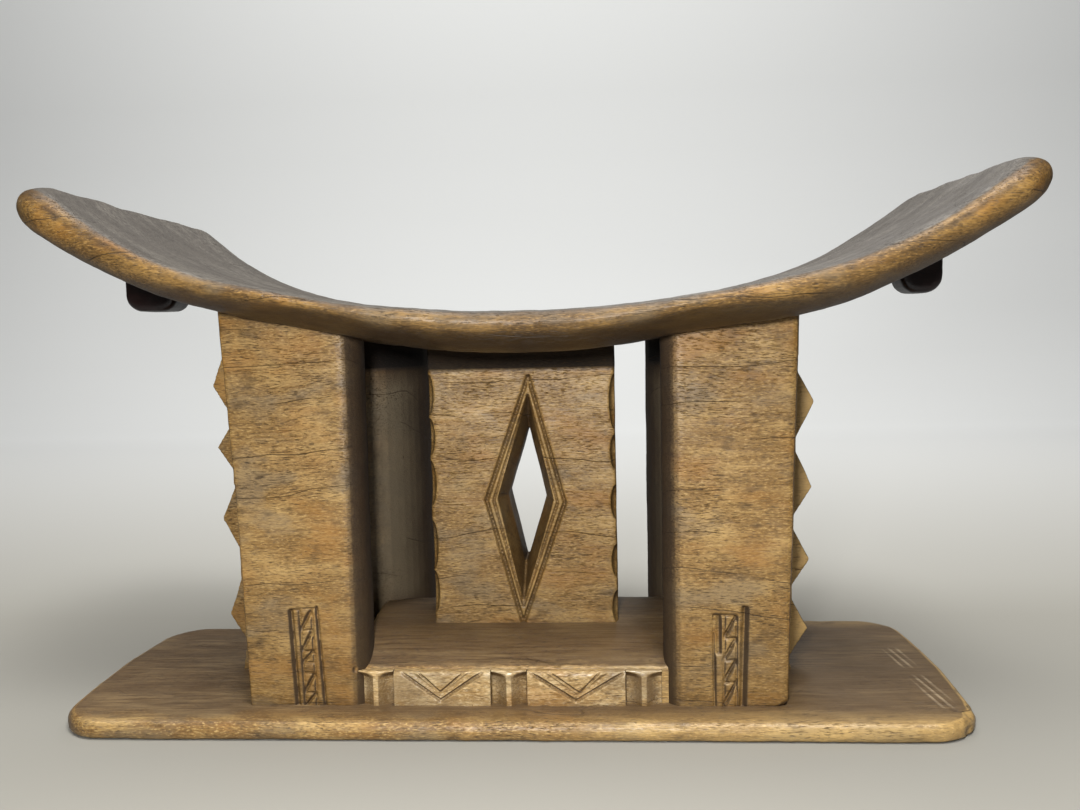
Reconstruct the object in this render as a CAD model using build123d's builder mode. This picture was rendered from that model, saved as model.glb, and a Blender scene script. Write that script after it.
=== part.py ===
"""Ashanti stool: a saddle seat on four corner columns, a pierced middle column and two toothed fins.

The stool is hand carved from one log, so it has no joinery: each carved member is one solid that
meets its neighbours face to face. X runs along the seat, Y from front to back, Z up. The origin
lies on the ground under the middle of the pierced column. Millimetres.
"""

import os
from math import sqrt

from build123d import *

# ---- Base board ----
BASE_LENGTH = 565.0
BASE_DEPTH = 204.0
BASE_THICKNESS = 12.0
BASE_CENTRE_X = -6.5
BASE_END_BOW = 7.0
BASE_CORNER_RADIUS = 30.0
BASE_TOP_ROUND = 4.5
BASE_BOTTOM_ROUND = 2.5

# ---- Seat ----
SEAT_LENGTH = 582.0
SEAT_DEPTH = 240.0
SEAT_CENTRE_X = 8.0
SEAT_HEIGHT = 251.0
SEAT_THICKNESS = 24.0
TOP_CENTRE_RADIUS = 694.0
TOP_WING_START = 165.0
TOP_WING_RADIUS = 235.0
UNDER_CENTRE_RADIUS = 700.0
UNDER_WING_START = 150.0
UNDER_WING_RADIUS = 280.0
TIP_BULGE = 11.1
TIP_TOP_SETBACK = 16.0
TIP_UNDER_SETBACK = 6.0
SEAT_CORNER_RADIUS = 26.0
SEAT_OVERHANG = 119.0

# ---- Columns ----
SUPPORT_CENTRE_X = -4.0
COLUMN_FACE_Y = 76.0
COLUMN_CREST_Y = 10.0
COLUMN_HEAD_REACH = SEAT_LENGTH / 2 - SEAT_OVERHANG
COLUMN_LEAN = 7.5
COLUMN_FOOT_REACH = COLUMN_HEAD_REACH - COLUMN_LEAN
COLUMN_EDGE_ROUND = 8.0
COLUMN_INNER_ROUND = 50.0
FRONT_LEFT_INNER = 87.0
FRONT_RIGHT_INNER = 91.0
REAR_LEFT_INNER = 70.0
REAR_RIGHT_INNER = 87.0

# ---- Pierced middle column ----
CENTRAL_WIDTH = 120.0
CENTRAL_THICKNESS = 60.0
CENTRAL_CENTRE_X = 0.0
CENTRAL_EDGE_ROUND = 3.0
DIAMOND_CENTRE_X = 1.5
DIAMOND_CENTRE_Z = 131.0
DIAMOND_HALF_WIDTH = 12.5
DIAMOND_HALF_HEIGHT = 47.0
DIAMOND_SPLAY_WIDTH = 5.5
DIAMOND_SPLAY_HEIGHT = 21.5
DIAMOND_SPLAY_DEPTH = 20.0

# ---- Step under the middle column ----
STEP_WIDTH = 195.0
STEP_EDGE_HEIGHT = 34.0
STEP_CROWN_HEIGHT = 53.0
STEP_CARVING_DEPTH = 5.0
CARVING_CENTRE_X = -7.7
POST_WIDTH = 22.0
POST_PITCH = 82.0
POST_RIDGE_WIDTH = 3.0
POST_HOLLOW = 1.2

# ---- Toothed fins: how far they stand out from the columns' leaning sides, and heights from the top down ----
FIN_THICKNESS = 20.0
FIN_ROOT = 36.0
LEFT_FIN_HEAD = 27.0
LEFT_FIN_FOOT = 29.0
LEFT_TIP = 35.0
LEFT_VALLEY = 25.5
LEFT_TIPS = (206.5, 165.0, 116.5, 50.5)
LEFT_VALLEYS = ((190.0, 179.0), (150.0, 137.0), (97.0, 75.0), (34.0, 28.0))
RIGHT_FIN_HEAD = 12.0
RIGHT_FIN_FOOT = 14.0
RIGHT_TIP = 23.0
RIGHT_VALLEY = 12.0
RIGHT_TIPS = (189.5, 133.5, 85.5, 39.5)
RIGHT_VALLEYS = ((166.0, 157.0), (115.0, 105.0), (68.0, 59.0), (21.0, 16.0))
TOOTH_HEAD_GAP = 19.0

# ---- Lugs under the wings ----
LEFT_LUG_WIDTH = 36.0
RIGHT_LUG_WIDTH = 29.0
LUG_DEPTH = 30.0
LUG_LOW_Z = 257.5
LUG_ROUND = 11.0
LUG_FACE_ROUND = 4.0
LEFT_LUG_INSET = 35.0
RIGHT_LUG_INSET = 42.5

# ---- Room for cutting tools past the pieces that they trim ----
OVERRUN = 20.0


def saddle_height(x, low, centre_radius, wing_start, wing_radius):
    """Height of a saddle curve at x from the seat's middle: a shallow arc, then a tighter one."""
    x = abs(x)
    if x <= wing_start:
        return low + centre_radius - sqrt(centre_radius**2 - x**2)
    slope_start = wing_start / centre_radius
    slope_end = slope_start + (x - wing_start) / wing_radius
    start = low + centre_radius - sqrt(centre_radius**2 - wing_start**2)
    return start + wing_radius * (sqrt(1 - slope_start**2) - sqrt(1 - slope_end**2))


def top_height(x):
    """Height of the seat's upper surface."""
    return saddle_height(x, SEAT_HEIGHT, TOP_CENTRE_RADIUS, TOP_WING_START, TOP_WING_RADIUS)


def under_height(x):
    """Height of the seat's underside."""
    low = SEAT_HEIGHT - SEAT_THICKNESS
    return saddle_height(x, low, UNDER_CENTRE_RADIUS, UNDER_WING_START, UNDER_WING_RADIUS)


def saddle_line(height, wing_start, reach):
    """The middle arc and both wing arcs of a saddle curve."""

    def at(x):
        return (SEAT_CENTRE_X + x, height(x))

    ThreePointArc(at(-wing_start), at(0), at(wing_start))
    for side in (-1, 1):
        half_way = side * (wing_start + reach) / 2
        ThreePointArc(at(side * wing_start), at(half_way), at(side * reach))


top_reach = SEAT_LENGTH / 2 - TIP_TOP_SETBACK
under_reach = SEAT_LENGTH / 2 - TIP_UNDER_SETBACK
seat_clear_height = top_height(top_reach) + 2 * OVERRUN

# ---- Seat ----
with BuildPart() as seat:
    with BuildSketch(Plane.XZ):
        with BuildLine():
            saddle_line(top_height, TOP_WING_START, top_reach)
            saddle_line(under_height, UNDER_WING_START, under_reach)
            for side in (-1, 1):
                upper = Vector(SEAT_CENTRE_X + side * top_reach, top_height(top_reach))
                lower = Vector(SEAT_CENTRE_X + side * under_reach, under_height(under_reach))
                along = (upper - lower).normalized()
                outward = Vector(side * along.Y, -side * along.X)
                ThreePointArc(upper, (upper + lower) / 2 + outward * TIP_BULGE, lower)
        make_face()
    extrude(amount=SEAT_DEPTH / 2, both=True)
    with BuildSketch(Plane.XY):
        with Locations((SEAT_CENTRE_X, 0)):
            RectangleRounded(SEAT_LENGTH, SEAT_DEPTH, SEAT_CORNER_RADIUS)
    extrude(amount=seat_clear_height, mode=Mode.INTERSECT)
seat.part.label = "seat"

# Everything above the seat's underside, which trims what carries the seat.
with BuildPart() as seat_space:
    with BuildSketch(Plane.XZ):
        with BuildLine():
            cut_reach = under_reach + OVERRUN / 4
            saddle_line(under_height, UNDER_WING_START, cut_reach)
            left_end = (SEAT_CENTRE_X - cut_reach, under_height(cut_reach))
            right_end = (SEAT_CENTRE_X + cut_reach, under_height(cut_reach))
            top_left = (left_end[0], seat_clear_height)
            top_right = (right_end[0], seat_clear_height)
            Polyline(left_end, top_left, top_right, right_end)
        make_face()
    extrude(amount=SEAT_DEPTH / 2 + OVERRUN, both=True)

# ---- Base board ----
with BuildPart() as base:
    with BuildSketch(Plane.XY) as outline:
        with BuildLine():
            end = BASE_LENGTH / 2
            side_y = BASE_DEPTH / 2
            corner = end - BASE_END_BOW
            for side in (-1, 1):
                near = (BASE_CENTRE_X + side * corner, -side_y)
                far = (BASE_CENTRE_X + side * corner, side_y)
                ThreePointArc(near, (BASE_CENTRE_X + side * end, 0), far)
                Line((BASE_CENTRE_X - corner, side * side_y), (BASE_CENTRE_X + corner, side * side_y))
        make_face()
        fillet(outline.vertices(), radius=BASE_CORNER_RADIUS)
    extrude(amount=BASE_THICKNESS)
    fillet(base.faces().sort_by(Axis.Z)[-1].edges(), radius=BASE_TOP_ROUND)
    fillet(base.faces().sort_by(Axis.Z)[0].edges(), radius=BASE_BOTTOM_ROUND)
base.part.label = "base"


# ---- Step: a low domed floor under the middle column ----
# Everything below the floor's surface, which trims what stands against the step.
with BuildPart() as step_space:
    with BuildSketch(Plane.YZ.offset(SUPPORT_CENTRE_X)):
        with BuildLine():
            edge = (COLUMN_FACE_Y, STEP_EDGE_HEIGHT)
            ThreePointArc((-edge[0], edge[1]), (0, STEP_CROWN_HEIGHT), edge)
            Polyline(
                edge,
                (COLUMN_FACE_Y + OVERRUN, STEP_EDGE_HEIGHT),
                (COLUMN_FACE_Y + OVERRUN, 0),
                (-COLUMN_FACE_Y - OVERRUN, 0),
                (-COLUMN_FACE_Y - OVERRUN, STEP_EDGE_HEIGHT),
                (-edge[0], edge[1]),
            )
        make_face()
    extrude(amount=STEP_WIDTH / 2, both=True)

carving_back_y = COLUMN_FACE_Y - STEP_CARVING_DEPTH
with BuildPart() as step:
    with BuildSketch(Plane.XY.offset(BASE_THICKNESS)):
        with Locations((SUPPORT_CENTRE_X, 0)):
            Rectangle(STEP_WIDTH, 2 * carving_back_y)
    extrude(amount=STEP_CROWN_HEIGHT)
    add(step_space.part, mode=Mode.INTERSECT)
step.part.label = "step"


# ---- Corner columns: flat outside, rounded towards the middle of the stool ----
def corner_column(end, face, inner):
    """A column at one end (-1 left, 1 right) and face (-1 front, 1 rear)."""

    def at(reach, y):
        return (SUPPORT_CENTRE_X + end * reach, face * y)

    lean = Vector(end * (COLUMN_HEAD_REACH - COLUMN_FOOT_REACH), 0, SEAT_HEIGHT - BASE_THICKNESS)
    outer_side = Plane(
        origin=(SUPPORT_CENTRE_X + end * COLUMN_FOOT_REACH, 0, BASE_THICKNESS),
        x_dir=(0, 1, 0),
        z_dir=Vector(0, end, 0).cross(lean),
    )
    wide_reach = COLUMN_HEAD_REACH + OVERRUN
    with BuildPart() as column:
        with BuildSketch(Plane.XY.offset(BASE_THICKNESS)) as section:
            with BuildLine():
                Polyline(
                    at(inner, COLUMN_FACE_Y),
                    at(inner, COLUMN_CREST_Y),
                    at(wide_reach, COLUMN_CREST_Y),
                    at(wide_reach, COLUMN_FACE_Y),
                    close=True,
                )
            make_face()
            fillet(section.vertices().sort_by_distance(at(inner, COLUMN_FACE_Y))[0], COLUMN_EDGE_ROUND)
            fillet(section.vertices().sort_by_distance(at(inner, COLUMN_CREST_Y))[0], COLUMN_INNER_ROUND)
        extrude(amount=seat_clear_height - BASE_THICKNESS - OVERRUN)
        split(bisect_by=outer_side, keep=Keep.BOTTOM)
        add(seat_space.part, mode=Mode.SUBTRACT)
        add(step_space.part, mode=Mode.SUBTRACT)
    return column


corner_columns = {
    "front_left_column": corner_column(-1, -1, FRONT_LEFT_INNER),
    "front_right_column": corner_column(1, -1, FRONT_RIGHT_INNER),
    "rear_left_column": corner_column(-1, 1, REAR_LEFT_INNER),
    "rear_right_column": corner_column(1, 1, REAR_RIGHT_INNER),
}
for name, column in corner_columns.items():
    column.part.label = name


# ---- Middle column, pierced by a tall diamond whose edges splay at both faces ----
def diamond(half_width, half_height):
    """The outline of a tall diamond about the piercing's centre."""
    Polyline(
        (DIAMOND_CENTRE_X - half_width, DIAMOND_CENTRE_Z),
        (DIAMOND_CENTRE_X, DIAMOND_CENTRE_Z + half_height),
        (DIAMOND_CENTRE_X + half_width, DIAMOND_CENTRE_Z),
        (DIAMOND_CENTRE_X, DIAMOND_CENTRE_Z - half_height),
        close=True,
    )


with BuildPart() as central_column:
    with BuildSketch(Plane.XY.offset(BASE_THICKNESS)):
        with Locations((CENTRAL_CENTRE_X, 0)):
            RectangleRounded(CENTRAL_WIDTH, CENTRAL_THICKNESS, CENTRAL_EDGE_ROUND)
    extrude(amount=SEAT_HEIGHT - BASE_THICKNESS)
    with BuildSketch(Plane.XZ):
        with BuildLine():
            diamond(DIAMOND_HALF_WIDTH, DIAMOND_HALF_HEIGHT)
        make_face()
    extrude(amount=CENTRAL_THICKNESS, both=True, mode=Mode.SUBTRACT)
    for side in (-1, 1):
        with BuildSketch(Plane.XZ.offset(side * (CENTRAL_THICKNESS / 2 - DIAMOND_SPLAY_DEPTH))):
            with BuildLine():
                diamond(DIAMOND_HALF_WIDTH, DIAMOND_HALF_HEIGHT)
            make_face()
        with BuildSketch(Plane.XZ.offset(side * CENTRAL_THICKNESS / 2)):
            with BuildLine():
                diamond(DIAMOND_HALF_WIDTH + DIAMOND_SPLAY_WIDTH, DIAMOND_HALF_HEIGHT + DIAMOND_SPLAY_HEIGHT)
            make_face()
        loft(mode=Mode.SUBTRACT)
    add(seat_space.part, mode=Mode.SUBTRACT)
    add(step_space.part, mode=Mode.SUBTRACT)
central_column.part.label = "central_column"


# ---- Toothed fins at mid-depth, between the front and rear columns ----
def toothed_fin(end, head, foot, tip_out, valley_out, tips, valleys):
    """A fin at one end (-1 left, 1 right) with its teeth pointing outwards."""

    def at(out, z):
        lean_here = COLUMN_LEAN * (SEAT_HEIGHT - z) / (SEAT_HEIGHT - BASE_THICKNESS)
        return (SUPPORT_CENTRE_X + end * (COLUMN_HEAD_REACH - lean_here + out), z)

    fin_top = seat_clear_height - OVERRUN
    points = [at(-FIN_ROOT, fin_top), at(head, fin_top), at(head, tips[0] + TOOTH_HEAD_GAP)]
    for tip, (valley_high, valley_low) in zip(tips, valleys):
        points.append(at(tip_out, tip))
        points.append(at(valley_out, valley_high))
        points.append(at(valley_out, valley_low))
    points.append(at(foot, BASE_THICKNESS))
    points.append(at(-FIN_ROOT, BASE_THICKNESS))
    with BuildPart() as fin:
        with BuildSketch(Plane.XZ):
            with BuildLine():
                Polyline(points, close=True)
            make_face()
        extrude(amount=FIN_THICKNESS / 2, both=True)
        add(seat_space.part, mode=Mode.SUBTRACT)
    return fin


left_fin = toothed_fin(
    -1,
    LEFT_FIN_HEAD,
    LEFT_FIN_FOOT,
    LEFT_TIP,
    LEFT_VALLEY,
    LEFT_TIPS,
    LEFT_VALLEYS,
)
left_fin.part.label = "left_fin"
right_fin = toothed_fin(
    1,
    RIGHT_FIN_HEAD,
    RIGHT_FIN_FOOT,
    RIGHT_TIP,
    RIGHT_VALLEY,
    RIGHT_TIPS,
    RIGHT_VALLEYS,
)
right_fin.part.label = "right_fin"


# ---- Ridged posts and panels along the step's front and rear edges ----
def ridged_post(centre_x, face):
    """A post with a narrow ridge and hollow flanks."""
    ridge_half = POST_RIDGE_WIDTH / 2
    half = POST_WIDTH / 2
    flank = (half + ridge_half) / 2
    flank_y = (carving_back_y + COLUMN_FACE_Y) / 2 - POST_HOLLOW
    with BuildPart() as post:
        with BuildSketch(Plane.XY.offset(BASE_THICKNESS)):
            with BuildLine():
                for side in (-1, 1):
                    ThreePointArc(
                        (centre_x + side * half, face * carving_back_y),
                        (centre_x + side * flank, face * flank_y),
                        (centre_x + side * ridge_half, face * COLUMN_FACE_Y),
                    )
                Line(
                    (centre_x - ridge_half, face * COLUMN_FACE_Y),
                    (centre_x + ridge_half, face * COLUMN_FACE_Y),
                )
                Line((centre_x - half, face * carving_back_y), (centre_x + half, face * carving_back_y))
            make_face()
        extrude(amount=STEP_CROWN_HEIGHT)
        add(step_space.part, mode=Mode.INTERSECT)
    return post


def step_panel(centre_x, face):
    """A flat panel between two posts, level with the posts' ridges."""
    with BuildPart() as panel:
        with BuildSketch(Plane.XY.offset(BASE_THICKNESS)):
            with Locations((centre_x, face * (carving_back_y + STEP_CARVING_DEPTH / 2))):
                Rectangle(POST_PITCH - POST_WIDTH, STEP_CARVING_DEPTH)
        extrude(amount=STEP_CROWN_HEIGHT)
        add(step_space.part, mode=Mode.INTERSECT)
    return panel


step_carvings = {}
for face_name, face in (("front", -1), ("rear", 1)):
    for place, offset in (("left", -1), ("middle", 0), ("right", 1)):
        step_carvings[f"{face_name}_{place}_post"] = ridged_post(CARVING_CENTRE_X + offset * POST_PITCH, face)
    for place, offset in (("left", -0.5), ("right", 0.5)):
        step_carvings[f"{face_name}_{place}_panel"] = step_panel(CARVING_CENTRE_X + offset * POST_PITCH, face)
for name, carving in step_carvings.items():
    carving.part.label = name


# ---- Rounded lugs under the wings ----
def wing_lug(end, width, inset):
    """A lug with rounded lower corners, trimmed by the seat's underside."""
    with BuildPart() as lug:
        with BuildSketch(Plane.XZ) as profile:
            height = seat_clear_height - OVERRUN - LUG_LOW_Z
            with Locations((SEAT_CENTRE_X + end * (SEAT_LENGTH / 2 - inset), LUG_LOW_Z + height / 2)):
                Rectangle(width, height)
            fillet(profile.vertices().group_by(Axis.Y)[0], radius=LUG_ROUND)
        extrude(amount=LUG_DEPTH / 2, both=True)
        fillet(lug.faces().sort_by(Axis.Y)[0].edges(), radius=LUG_FACE_ROUND)
        fillet(lug.faces().sort_by(Axis.Y)[-1].edges(), radius=LUG_FACE_ROUND)
        add(seat_space.part, mode=Mode.SUBTRACT)
    return lug


left_lug = wing_lug(-1, LEFT_LUG_WIDTH, LEFT_LUG_INSET)
left_lug.part.label = "left_lug"
right_lug = wing_lug(1, RIGHT_LUG_WIDTH, RIGHT_LUG_INSET)
right_lug.part.label = "right_lug"

# ---- One STEP file for each member ----
members = [base, step, seat, central_column, left_fin, right_fin, left_lug, right_lug]
members += list(corner_columns.values())
members += list(step_carvings.values())
os.makedirs("parts", exist_ok=True)
for member in members:
    export_step(member.part, f"parts/{member.part.label}.step")
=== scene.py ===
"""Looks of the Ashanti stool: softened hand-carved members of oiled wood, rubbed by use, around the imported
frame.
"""

from math import atan2, copysign, cos, exp, pi, radians, sin, sqrt
from types import SimpleNamespace

import bmesh
import bpy
from mathutils import Matrix, Vector


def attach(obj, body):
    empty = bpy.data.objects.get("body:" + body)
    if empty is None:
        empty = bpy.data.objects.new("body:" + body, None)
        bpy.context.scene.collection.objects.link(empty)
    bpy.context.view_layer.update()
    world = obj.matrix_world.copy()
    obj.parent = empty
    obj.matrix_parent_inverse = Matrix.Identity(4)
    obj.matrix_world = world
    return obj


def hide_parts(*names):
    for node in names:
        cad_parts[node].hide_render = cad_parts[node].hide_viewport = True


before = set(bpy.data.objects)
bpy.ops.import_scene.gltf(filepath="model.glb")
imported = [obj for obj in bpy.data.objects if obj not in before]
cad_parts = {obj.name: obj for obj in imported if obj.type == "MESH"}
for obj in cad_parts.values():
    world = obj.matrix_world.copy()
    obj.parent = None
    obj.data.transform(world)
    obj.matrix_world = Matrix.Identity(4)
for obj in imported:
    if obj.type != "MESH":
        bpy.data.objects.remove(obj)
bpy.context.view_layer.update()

MM = 0.001

# ---- Sizes in millimetres, as in the solids, but for the step's edge, which is worn 3 mm lower ----
SUPPORT_X = -4.0
SEAT_X = 8.0
SEAT_REACH = 291.0
SEAT_HALF_DEPTH = 120.0
SEAT_TOP = 251.0
SEAT_THICKNESS = 24.0
BASE_X = -6.5
BASE_HALF = 282.5
BASE_HALF_DEPTH = 102.0
BASE_TOP = 12.0
SUNK = 2.0
FACE_Y = 76.0
CREST_Y = 10.0
COLUMN_REACH = 172.0
COLUMN_DRAFT = 7.5
ROUGH_TOP = 270.0
STEP_EDGE_Z = 31.0
STEP_CROWN_Z = 53.0
STEP_HALF = 97.5
RECESS_Y = 71.0
CARVING_X = -7.7
CARVING_TOP = STEP_EDGE_Z + 2.5
POST_PITCH = 82.0
POST_HALF = 11.0
RIDGE_HALF = 1.6
PANEL_HALF = POST_PITCH / 2 - POST_HALF


# ==== Modelling helpers ====
def nothing_selected():
    """Leaves edit mode with nothing selected."""
    if bpy.context.mode != "OBJECT":
        bpy.ops.object.mode_set(mode="OBJECT")
    bpy.ops.object.select_all(action="DESELECT")


def work_on(piece):
    """Makes the piece the only selected, active object."""
    nothing_selected()
    bpy.context.view_layer.objects.active = piece
    piece.select_set(True)


def block(name, low, high):
    """A rough block of wood between two corners in millimetres."""
    nothing_selected()
    centre = [(a + b) / 2 * MM for a, b in zip(low, high)]
    size = [(b - a) * MM for a, b in zip(low, high)]
    bpy.ops.mesh.primitive_cube_add(size=1, location=centre, scale=size)
    piece = bpy.context.object
    piece.name = name
    bpy.ops.object.transform_apply(location=True, rotation=True, scale=True)
    return piece


def pick(piece, kind, test):
    """In edit mode, selects the vertices, edges or faces whose corners, in millimetres, pass the test."""
    work_on(piece)
    bpy.ops.object.mode_set(mode="EDIT")
    bpy.ops.mesh.select_mode(type=kind)
    bpy.ops.mesh.select_all(action="DESELECT")
    mesh = bmesh.from_edit_mesh(piece.data)
    for part in {"VERT": mesh.verts, "EDGE": mesh.edges, "FACE": mesh.faces}[kind]:
        corners = [part.co] if kind == "VERT" else [v.co for v in part.verts]
        part.select_set(test([corner / MM for corner in corners]))
    mesh.select_flush_mode()
    bmesh.update_edit_mesh(piece.data)


def round_off(piece, radius, segments, test):
    """Rounds the edges whose two ends pass the test."""
    pick(piece, "EDGE", test)
    bpy.ops.mesh.bevel(offset=radius * MM, segments=segments, affect="EDGES")


def slice_at(piece, point, normal, clear=False):
    """Cuts the piece by a plane given in millimetres; with clear, what lies beyond it is removed."""
    pick(piece, "FACE", lambda corners: True)
    bpy.ops.mesh.bisect(
        plane_co=Vector(point) * MM,
        plane_no=Vector(normal).normalized(),
        clear_outer=clear,
        use_fill=clear,
    )
    nothing_selected()


def slice_across(piece, axis, stations):
    """Adds a row of cuts square to axis 0, 1 or 2, at stations in millimetres."""
    for station in stations:
        point, normal = [0, 0, 0], [0, 0, 0]
        point[axis], normal[axis] = station, 1
        slice_at(piece, point, normal)


def shift_points(piece, move):
    """Moves every corner of the piece by a rule in millimetres."""
    for corner in piece.data.vertices:
        corner.co = Vector(move(corner.co / MM)) * MM
    piece.data.update()


def rounded_board(name, low, high, corner_radius, top_round, top_segments, under_round):
    """A flat board that lies on the ground, with rounded corners and rims."""
    board = block(name, low, high)
    round_off(board, corner_radius, 8, lambda ends: abs(ends[0].z - ends[1].z) > 1)
    round_off(board, top_round, top_segments, lambda ends: all(end.z > high[2] - 0.1 for end in ends))
    round_off(board, under_round, 3, lambda ends: all(end.z < 0.1 for end in ends))
    return board


def finish_with(piece, kind, **settings):
    """Adds a modifier and applies it."""
    work_on(piece)
    modifier = piece.modifiers.new(kind.title(), kind)
    for name, value in settings.items():
        setattr(modifier, name, value)
    bpy.ops.object.modifier_apply(modifier=modifier.name)


def carve_away(piece, cutters):
    """Cuts the cutters out of the piece one after another and removes them."""
    for cutter in cutters:
        finish_with(piece, "BOOLEAN", operation="DIFFERENCE", object=cutter, solver="EXACT")
        bpy.data.objects.remove(cutter)
        finish_with(piece, "WELD", merge_threshold=0.02 * MM)


def gouge(start, end, width, depth, face_y):
    """A V-shaped cutter along a line in X and Z on the face at face_y, in millimetres."""
    run = Vector((end[0] - start[0], 0, end[1] - start[1]))
    middle = Vector(((start[0] + end[0]) / 2, face_y, (start[1] + end[1]) / 2))
    nothing_selected()
    bpy.ops.mesh.primitive_cylinder_add(
        vertices=4,
        radius=1,
        depth=1,
        location=middle * MM,
        rotation=(0, atan2(run.x, run.z), 0),
        scale=(width / 2 * MM, depth * MM, (run.length + width / 2) * MM),
    )
    bpy.ops.object.transform_apply(location=True, rotation=True, scale=True)
    return bpy.context.object


def scoop(place, half_size):
    """A rounded cutter at a place, with half sizes along X, Y and Z, in millimetres."""
    nothing_selected()
    bpy.ops.mesh.primitive_uv_sphere_add(
        segments=24,
        ring_count=16,
        radius=1,
        location=Vector(place) * MM,
        scale=Vector(half_size) * MM,
    )
    bpy.ops.object.transform_apply(location=True, rotation=True, scale=True)
    return bpy.context.object


# Wood moves under the blade: broad swells, then small chatter.
swell = bpy.data.textures.new("blade_swell", "CLOUDS")
swell.noise_scale = 0.030
swell.noise_depth = 1
chatter = bpy.data.textures.new("blade_chatter", "CLOUDS")
chatter.noise_scale = 0.007
chatter.noise_depth = 2


def hand_finish(piece, voxel, rub, swell_depth, chatter_depth, keep):
    """Turns crisp geometry into rubbed, slightly uneven carved wood. Sizes in millimetres; keep is the
    share of the faces that stays."""
    finish_with(piece, "REMESH", mode="VOXEL", voxel_size=voxel * MM, use_smooth_shade=True)
    finish_with(piece, "SMOOTH", factor=0.5, iterations=rub)
    for texture, depth in ((swell, swell_depth), (chatter, chatter_depth)):
        finish_with(
            piece, "DISPLACE", texture=texture, texture_coords="LOCAL", strength=depth * MM, mid_level=0.5
        )
    finish_with(piece, "DECIMATE", ratio=keep)
    work_on(piece)
    bpy.ops.object.shade_smooth()
    nothing_selected()


def settle(piece, material, slot, *nodes):
    """Gives the piece its material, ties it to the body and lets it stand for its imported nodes."""
    piece.data.materials.clear()
    piece.data.materials.append(material)
    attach(piece, "root")
    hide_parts(*nodes)


# ==== Materials, with places in metres ====
def tone(code):
    """An sRGB hex colour as linear red, green, blue and alpha."""
    channels = [int(code[i : i + 2], 16) / 255 for i in (1, 3, 5)]
    return [c / 12.92 if c <= 0.04045 else ((c + 0.055) / 1.055) ** 2.4 for c in channels] + [1.0]


def add_node(tree, kind, inputs=None, **settings):
    """Adds a node, sets its settings, and links or sets its inputs."""
    node = tree.nodes.new(kind)
    for name, value in settings.items():
        setattr(node, name, value)
    for socket, value in (inputs or {}).items():
        if isinstance(value, bpy.types.NodeSocket):
            tree.links.new(value, node.inputs[socket])
        else:
            node.inputs[socket].default_value = value
    return node


def empty_material(name):
    """A new material and its empty node tree."""
    material = bpy.data.materials.new(name)
    material.use_nodes = True
    material.node_tree.nodes.clear()
    return material, material.node_tree


def grain_cells(tree, source, length, girth, detail):
    """A pattern in cells of a length along the grain and a girth across it, in millimetres."""
    cells = (1 / (length * MM), 1 / (girth * MM), 1 / (girth * MM))
    spread = add_node(tree, "ShaderNodeMapping", {"Vector": source, "Scale": cells})
    pattern = add_node(
        tree, "ShaderNodeTexNoise", {"Vector": spread.outputs[0], "Scale": 1.0, "Detail": detail}
    )
    return pattern.outputs[0]


def overlap(tree, *shares):
    """The product of shares. A share is a socket, a number, or a value with two limits, between which it
    runs from 0 to 1 or, where two more numbers follow, from the one to the other."""
    product = None
    for share in shares:
        if isinstance(share, tuple):
            value, low, high, at_low, at_high = (*share, 0.0, 1.0)[:5]
            limits = {"From Min": low, "From Max": high, "To Min": at_low, "To Max": at_high}
            share = add_node(tree, "ShaderNodeMapRange", {"Value": value, **limits}).outputs[0]
        if product is not None:
            share = add_node(tree, "ShaderNodeMath", {0: product, 1: share}, operation="MULTIPLY").outputs[0]
        product = share
    return product


def painted(tree, colour, paint, *shares):
    """The colour with a paint laid over it where the shares overlap."""
    colour, paint = [tone(coat) if isinstance(coat, str) else coat for coat in (colour, paint)]
    inputs = {0: overlap(tree, *shares), 6: colour, 7: paint}
    return add_node(tree, "ShaderNodeMix", inputs, data_type="RGBA").outputs[2]


def weighed(tree, *terms, start=0.0):
    """The sum of values times their weights."""
    total = start
    for value, weight in terms:
        inputs = {0: value, 1: weight, 2: total}
        total = add_node(tree, "ShaderNodeMath", inputs, operation="MULTIPLY_ADD").outputs[0]
    return total


def distance(tree, value, middle=0.0):
    """How far a value lies from a middle."""
    off = add_node(tree, "ShaderNodeMath", {0: value, 1: middle}, operation="SUBTRACT").outputs[0]
    return add_node(tree, "ShaderNodeMath", {0: off}, operation="ABSOLUTE").outputs[0]


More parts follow.
